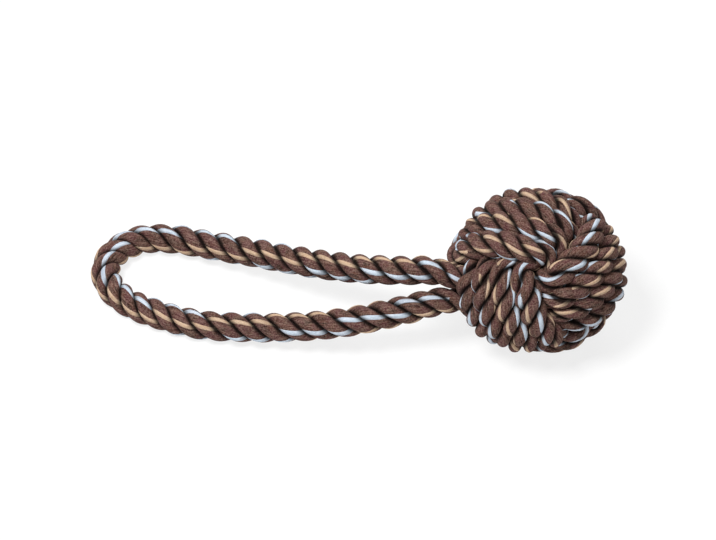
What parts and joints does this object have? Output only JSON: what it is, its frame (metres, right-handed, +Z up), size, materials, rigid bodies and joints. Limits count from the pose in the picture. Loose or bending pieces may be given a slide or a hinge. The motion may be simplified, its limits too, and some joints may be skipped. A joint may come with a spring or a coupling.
{
  "type": "rope dog toy",
  "caption": "Twisted cotton rope toy: a round fist knot tied over a rubber core, with the rope's doubled end as a long loop handle.",
  "frame": {"origin": "on the ground, in the rear one of the two flats that the fist knot stands on", "axes": "+Z up, and the loop handle lies towards -X"},
  "size_m": [0.2411, 0.0856, 0.0719],
  "materials": {
    "rope": "twisted cotton, three strands, dark brown with a light blue and a tan tracer yarn in each strand",
    "core": "matt moulded rubber"
  },
  "bodies": {
    "knot": {"core_ball": "core", "far_leg_turn": "rope", "crown_winding": "rope", "near_leg_winding": "rope", "side_winding": "rope", "far_leg_knot_flex": "rope", "near_leg_knot_flex": "rope"},
    "legs": {"far_leg": "rope", "near_leg": "rope", "far_leg_loop_flex": "rope", "near_leg_loop_flex": "rope"},
    "loop": {"loop_end": "rope"}
  },
  "joints": [
    {"name": "knot_swing", "type": "hinge", "parent": "knot", "child": "legs", "pos_m": [-0.0594, -0.0107, 0.032], "axis": [0, 0, 1], "range_deg": [-50, 50], "stiffness_Nm_per_rad": 0.08, "deforming": ["far_leg_knot_flex", "near_leg_knot_flex"]},
    {"name": "loop_lift", "type": "hinge", "parent": "legs", "child": "loop", "pos_m": [-0.1169, 0.0007, 0.0155], "axis": [0, 1, 0], "range_deg": [-45, 90], "stiffness_Nm_per_rad": 0.05, "deforming": ["far_leg_loop_flex", "near_leg_loop_flex"]}
  ]
}
